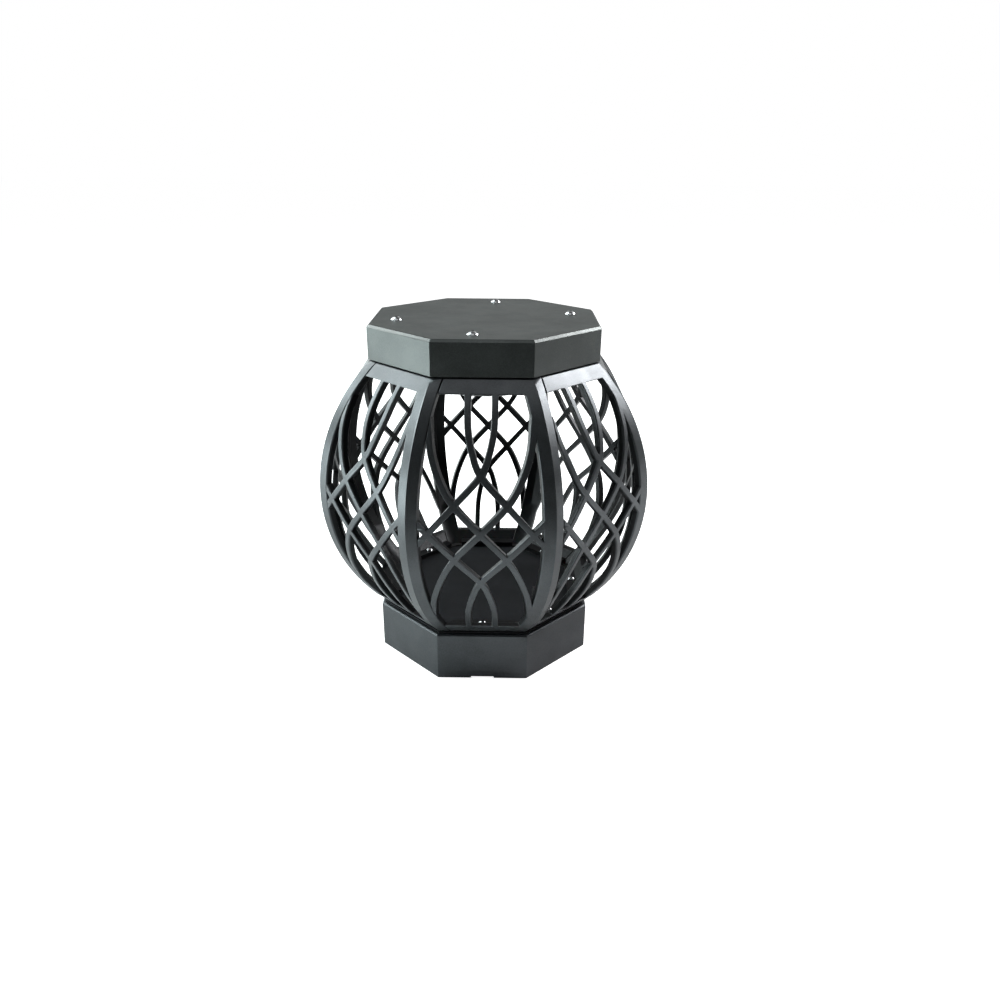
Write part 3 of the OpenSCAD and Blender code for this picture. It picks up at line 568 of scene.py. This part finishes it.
tabs = {
    "footScrew": 83.19 * mm,     # from the axis
    "ringScrew": 81.0 * mm,
    "past": 5.2 * mm,            # metal past the screw
    "footWidth": 54 * mm,
    "topWidth": 16 * mm,
    "thick": 4 * mm,
    "topFace": 264 * mm,
    "cornerRound": 2 * mm,
}


# A tab that sticks inwards from the middle of a rail
def addTab(bm, screwR, low, width):
    wall = (faceAt(low + tabs["thick"] / 2) + faceAt(low + tabs["thick"] / 2, casting["wall"])) / 2
    inner = screwR - tabs["past"]
    box = bmesh.ops.create_cube(bm, size=1)["verts"]
    bmesh.ops.scale(bm, verts=box, vec=(width, wall - inner, tabs["thick"]))
    bmesh.ops.translate(bm, verts=box, vec=(0, -(wall + inner) / 2, low + tabs["thick"] / 2))
    upright = [e for e in dict.fromkeys(e for v in box for e in v.link_edges)
               if abs(e.verts[0].co.z - e.verts[1].co.z) > mm and e.verts[0].co.y > -(wall + inner) / 2]
    roundOff(bm, upright, tabs["cornerRound"], 4)


pattern = roundPattern(flatCasting())
bendPattern(pattern)
addTab(pattern, tabs["footScrew"], shape["foot"], tabs["footWidth"])
addTab(pattern, tabs["ringScrew"], tabs["topFace"] - tabs["thick"], tabs["topWidth"])
# depth behind the outer face, in walls; the castings' paint turns to painted shade with it
paintedShadeDepth = pattern.verts.layers.float.new("paintedShadeDepth")
for v in pattern.verts:
    v[paintedShadeDepth] = (faceAt(v.co.z) - outAlongFace(v.co)) / casting["wall"]
for number in range(sides):
    bm = pattern.copy()
    bmesh.ops.rotate(bm, verts=bm.verts, cent=(0, 0, 0), matrix=Matrix.Rotation(stepTurn * number, 3, "Z"))
    finishPiece(f"casting{number + 1}", bm, "lantern", "panel_paint", [f"side_panel_{number + 1}"])
pattern.free()
print("eight castings")


cap = {"top": 300 * mm, "across": 95 * mm, "topRound": 2 * mm, "rimRound": 0.55 * mm}


# The eight-sided cap: its upper edge's arc becomes a slope, its corners and lower rim are rounded
def softCap():
    bm = mergedCopy("cap_shell")
    for v in bm.verts:
        out = outAlongFace(v.co)
        gone, down = cap["across"] - out, cap["top"] - v.co.z
        if max(gone, down) < cap["topRound"] + 0.01 * mm:
            flatter = cap["topRound"] / (gone + down) - 1
            v.co.xy *= (out - gone * flatter) / out
            v.co.z -= down * flatter
    bmesh.ops.dissolve_limit(bm, angle_limit=math.radians(1), verts=bm.verts, edges=bm.edges)

    def isRim(v):
        return outAlongFace(v.co) > cap["across"] - cap["topRound"] - 0.02 * mm
    rim = [e for e in bm.edges if isRim(e.verts[0]) and isRim(e.verts[1]) and len(e.link_faces) == 2
           and e.calc_face_angle() > math.radians(25)]
    roundOff(bm, rim, cap["rimRound"], 3)
    finishPiece("cap", bm, "cap", "cap_paint", ["cap_shell"])


base = {"top": 43.6 * mm, "across": 94 * mm, "rimSlope": 1.1 * mm, "edgeRound": 0.35 * mm}


def softBase():
    bm = mergedCopy("base_shell")

    def isSkin(e):
        return (all(outAlongFace(v.co) > base["across"] - base["rimSlope"] - 0.02 * mm for v in e.verts)
                and len(e.link_faces) == 2 and e.calc_face_angle() > math.radians(25))
    rim = [e for e in bm.edges if isSkin(e) and all(abs(v.co.z - base["top"]) < 0.01 * mm for v in e.verts)]
    roundOff(bm, rim, base["rimSlope"], 1)
    skin = [e for e in bm.edges if isSkin(e) and all(outAlongFace(v.co) > base["across"] - 0.02 * mm
                                                     or v.co.z > base["top"] - 0.02 * mm for v in e.verts)]
    roundOff(bm, skin, base["edgeRound"], 2)
    finishPiece("base", bm, "lantern", "base_paint", ["base_shell"])


softCap()
softBase()
print("cap and base")


# Photograph's view: a lens and a place found from the corners of cap and base
view = {
    "lens": 29.7,
    "sensor": 36,
    "place": (18.6 * mm, -704.5 * mm, 428.8 * mm),
    "aim": (13.8 * mm, 0.1 * mm, 131.2 * mm),
    "roll": 0.0081,
}
cameraData = bpy.data.cameras.new("view")
cameraData.lens = view["lens"]
cameraData.sensor_width = view["sensor"]
cameraData.clip_start = 0.01
camera = bpy.data.objects.new("view", cameraData)
scene.collection.objects.link(camera)
lookBack = Vector(view["place"]) - Vector(view["aim"])
facing = lookBack.to_track_quat("Z", "Y").to_matrix() @ Matrix.Rotation(view["roll"], 3, "Z")
camera.matrix_world = Matrix.Translation(view["place"]) @ facing.to_4x4()
scene.camera = camera
scene.view_settings.view_transform = "Standard"

# Lamps, each turned so many degrees from straight behind the object, to the right, and so many above it.
# They stand at lampAway where they name no distance of their own
lampAway = 1.4
lamps = {
    "leftBack": {"turn": -52, "rise": 8, "size": (0.8, 0.7), "power": 14, "tint": (0.9, 1, 1)},
    "leftLow": {"turn": -75, "rise": 3, "size": (0.6, 0.7), "power": 4, "tint": (0.88, 1, 1)},
    "leftSide": {"turn": -78, "rise": 24, "size": (0.4, 0.5), "power": 6, "tint": (0.92, 1, 1)},
    "leftHigh": {"turn": -72, "rise": 36, "size": (0.6, 0.6), "power": 2.5, "tint": (0.88, 1, 1)},
    "leftFloor": {"turn": -80, "rise": 60, "size": (0.5, 0.5), "power": 7, "tint": (0.88, 1, 1)},
    "leftFill": {"turn": -110, "rise": -3, "away": 0.9, "size": (0.4, 0.25), "power": 4.5,
                 "tint": (0.9, 1, 1)},
    "leftEdge": {"turn": -57, "rise": 38, "size": (0.35, 0.3), "power": 4, "tint": (1, 1, 1)},
    "backStrip": {"turn": 10, "rise": 45, "size": (2.0, 0.3), "power": 2, "tint": (1, 1, 0.98)},
    "rightHigh": {"turn": 66, "rise": 38, "size": (0.4, 0.4), "power": 13.5, "tint": (1, 0.99, 1)},
    "rightRim": {"turn": 76, "rise": 26, "size": (0.4, 0.4), "power": 6, "tint": (1, 0.99, 1)},
    "overFront": {"turn": 180, "rise": 68, "size": (0.9, 0.5), "power": 1.4, "tint": (0.98, 0.98, 1)},
}
lit = Vector((0, 0, 160 * mm))      # the spot that all lamps point at
for name, lamp in lamps.items():
    light = bpy.data.lights.new(name, "AREA")
    light.shape = "RECTANGLE"
    light.size, light.size_y = lamp["size"]
    light.energy = lamp["power"]
    light.color = lamp["tint"]
    holder = bpy.data.objects.new(name, light)
    turn, rise = math.radians(lamp["turn"]), math.radians(lamp["rise"])
    out = Vector((math.sin(turn) * math.cos(rise), math.cos(turn) * math.cos(rise), math.sin(rise)))
    holder.location = lit + out * lamp.get("away", lampAway)
    holder.rotation_euler = out.to_track_quat("Z", "Y").to_euler()
    scene.collection.objects.link(holder)

# Room: pale behind the object and dark on the camera's side, and plain white wherever the camera looks
room = {"behind": 0.2, "front": 0.04, "fromY": -0.35, "toY": 0.6, "whiteFrom": 0.95, "whiteTo": 1.05}
world = bpy.data.worlds.new("room")
scene.world = world
world.use_nodes = True
walls = Nodes(world.node_tree)
ahead = walls.add("SeparateXYZ", {}, {0: walls.add("TexCoord")}, "Y")
level = room["front"] + (room["behind"] - room["front"]) * walls.ramp(ahead, room["fromY"], room["toY"])
dim = walls.add("Background", {}, {"Color": (1, 1, 1), "Strength": level})
white = walls.add("Background", {}, {"Color": (1, 1, 1), "Strength": 1.0})
seen = walls.seenWhite(walls.ramp(ahead, room["whiteFrom"], room["whiteTo"]))
walls.finish("World", walls.add("MixShader", {}, {0: seen, 1: dim, 2: white}))

# Floor: a pale sheet that ends short of the camera and adds its own white where the camera sees it
floorSize = {"front": -0.5, "back": 12, "side": 9, "glow": 0.9, "whiteFrom": 0.4, "whiteTo": 1.5}
floorBm = bmesh.new()
for v in bmesh.ops.create_grid(floorBm, x_segments=1, y_segments=1, size=1)["verts"]:
    v.co = (v.co.x * floorSize["side"], floorSize["back"] if v.co.y > 0 else floorSize["front"], 0)
floorMesh = bpy.data.meshes.new("floor")
floorBm.to_mesh(floorMesh)
floorBm.free()
floor = bpy.data.objects.new("floor", floorMesh)
scene.collection.objects.link(floor)
floorLook = Look("paleFloor", Roughness=0.9, Base_Color=(0.86, 0.86, 0.86))
depth = floorLook.add("SeparateXYZ", {}, {0: floorLook.place}, "Y")
floorSeen = floorLook.seenWhite(floorLook.ramp(depth, floorSize["whiteFrom"], floorSize["whiteTo"]))
glow = floorLook.add("Emission", {}, {"Color": (1, 1, 1), "Strength": floorSize["glow"] * floorSeen})
floorLook.finish("Material", floorLook.add("AddShader", {}, {
    0: Wire(floorLook, floorLook.shader.outputs[0]), 1: glow}))
floorMesh.materials.append(floorLook.material)
print("camera, lamps and room")
